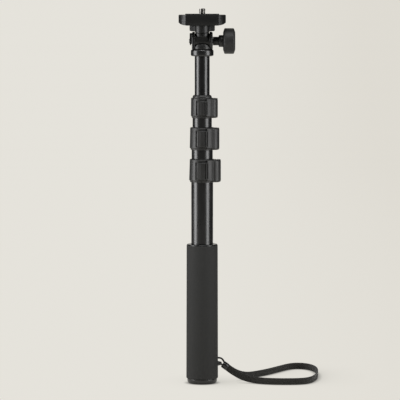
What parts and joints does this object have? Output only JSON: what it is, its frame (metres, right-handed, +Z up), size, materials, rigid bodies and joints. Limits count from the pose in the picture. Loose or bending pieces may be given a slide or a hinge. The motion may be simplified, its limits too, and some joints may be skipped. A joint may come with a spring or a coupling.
{
  "type": "camera monopod",
  "caption": "Folded telescopic camera pole with a foam grip, wrist strap, flip-lever clamps and a tilting head with a screw plate.",
  "frame": {"origin": "middle of the base cap's flat underside, on the floor the pole stands on", "axes": "+Z up along the tubes, +X towards the tilt knob and the wrist strap, -Y towards the camera of the picture"},
  "size_m": [0.1433, 0.1147, 0.3786],
  "materials": {
    "anodised_black": "black anodised, satin",
    "moulded_black": "moulded, satin",
    "knob_black": "moulded, matte",
    "plate_black": "moulded, fine grain",
    "foam": "fine closed foam",
    "strap": "woven nylon",
    "bright_steel": "zinc plated",
    "black_steel": "blackened",
    "guide_plastic": "slippery moulded plastic",
    "pad_rubber": "matte rubber"
  },
  "bodies": {
    "handle": {"base_cap": "moulded_black", "foam_grip": "foam", "grip_ring": "moulded_black", "strap_anchor": "moulded_black", "strap_cord": "strap", "strap_bead": "moulded_black", "strap_webbing": "strap", "lower_tube": "anodised_black", "lower_clamp": "moulded_black", "lower_brake_pad": "guide_plastic", "lower_lever_pin": "bright_steel"},
    "second_section": {"second_tube": "anodised_black", "second_bush": "guide_plastic", "middle_sleeve": "anodised_black", "middle_clamp": "moulded_black", "middle_brake_pad": "guide_plastic", "middle_lever_pin": "bright_steel"},
    "third_section": {"third_tube": "anodised_black", "third_bush": "guide_plastic", "upper_sleeve": "anodised_black", "upper_clamp": "moulded_black", "upper_brake_pad": "guide_plastic", "upper_lever_pin": "bright_steel", "wiper_ring": "moulded_black"},
    "top_section": {"top_tube": "anodised_black", "top_bush": "guide_plastic", "head_collar": "anodised_black", "tilt_fork": "moulded_black", "tilt_nut": "black_steel"},
    "lower_lever": {"lower_lever": "moulded_black"},
    "middle_lever": {"middle_lever": "moulded_black"},
    "upper_lever": {"upper_lever": "moulded_black"},
    "tilt_head": {"tilt_post": "anodised_black", "camera_plate": "plate_black", "plate_pad": "pad_rubber"},
    "wheel": {"lock_wheel": "moulded_black", "camera_screw": "bright_steel"},
    "knob": {"knob_hub": "moulded_black", "tilt_knob": "knob_black", "tilt_bolt": "black_steel"}
  },
  "joints": [
    {"name": "second_slide", "type": "slide", "parent": "handle", "child": "second_section", "axis": [0, 0, 1], "range_m": [0, 0.188]},
    {"name": "third_slide", "type": "slide", "parent": "second_section", "child": "third_section", "axis": [0, 0, 1], "range_m": [0, 0.216]},
    {"name": "top_slide", "type": "slide", "parent": "third_section", "child": "top_section", "axis": [0, 0, 1], "range_m": [0, 0.243]},
    {"name": "lower_flip", "type": "hinge", "parent": "handle", "child": "lower_lever", "pos_m": [0.0138, 0, 0.2158], "axis": [0, 0, 1], "range_deg": [0, 90]},
    {"name": "middle_flip", "type": "hinge", "parent": "second_section", "child": "middle_lever", "pos_m": [0.01343, 0, 0.248], "axis": [0, 0, 1], "range_deg": [0, 90]},
    {"name": "upper_flip", "type": "hinge", "parent": "third_section", "child": "upper_lever", "pos_m": [0.01248, 0, 0.2789], "axis": [0, 0, 1], "range_deg": [0, 90]},
    {"name": "tilt", "type": "hinge", "parent": "top_section", "child": "tilt_head", "pos_m": [0, 0, 0.346], "axis": [1, 0, 0], "range_deg": [-50, 50]},
    {"name": "wheel_turn", "type": "hinge", "parent": "tilt_head", "child": "wheel", "pos_m": [0, 0, 0.3588], "axis": [0, 0, 1], "continuous": true},
    {"name": "knob_turn", "type": "hinge", "parent": "top_section", "child": "knob", "pos_m": [0.02, 0, 0.346], "axis": [1, 0, 0], "continuous": true}
  ]
}
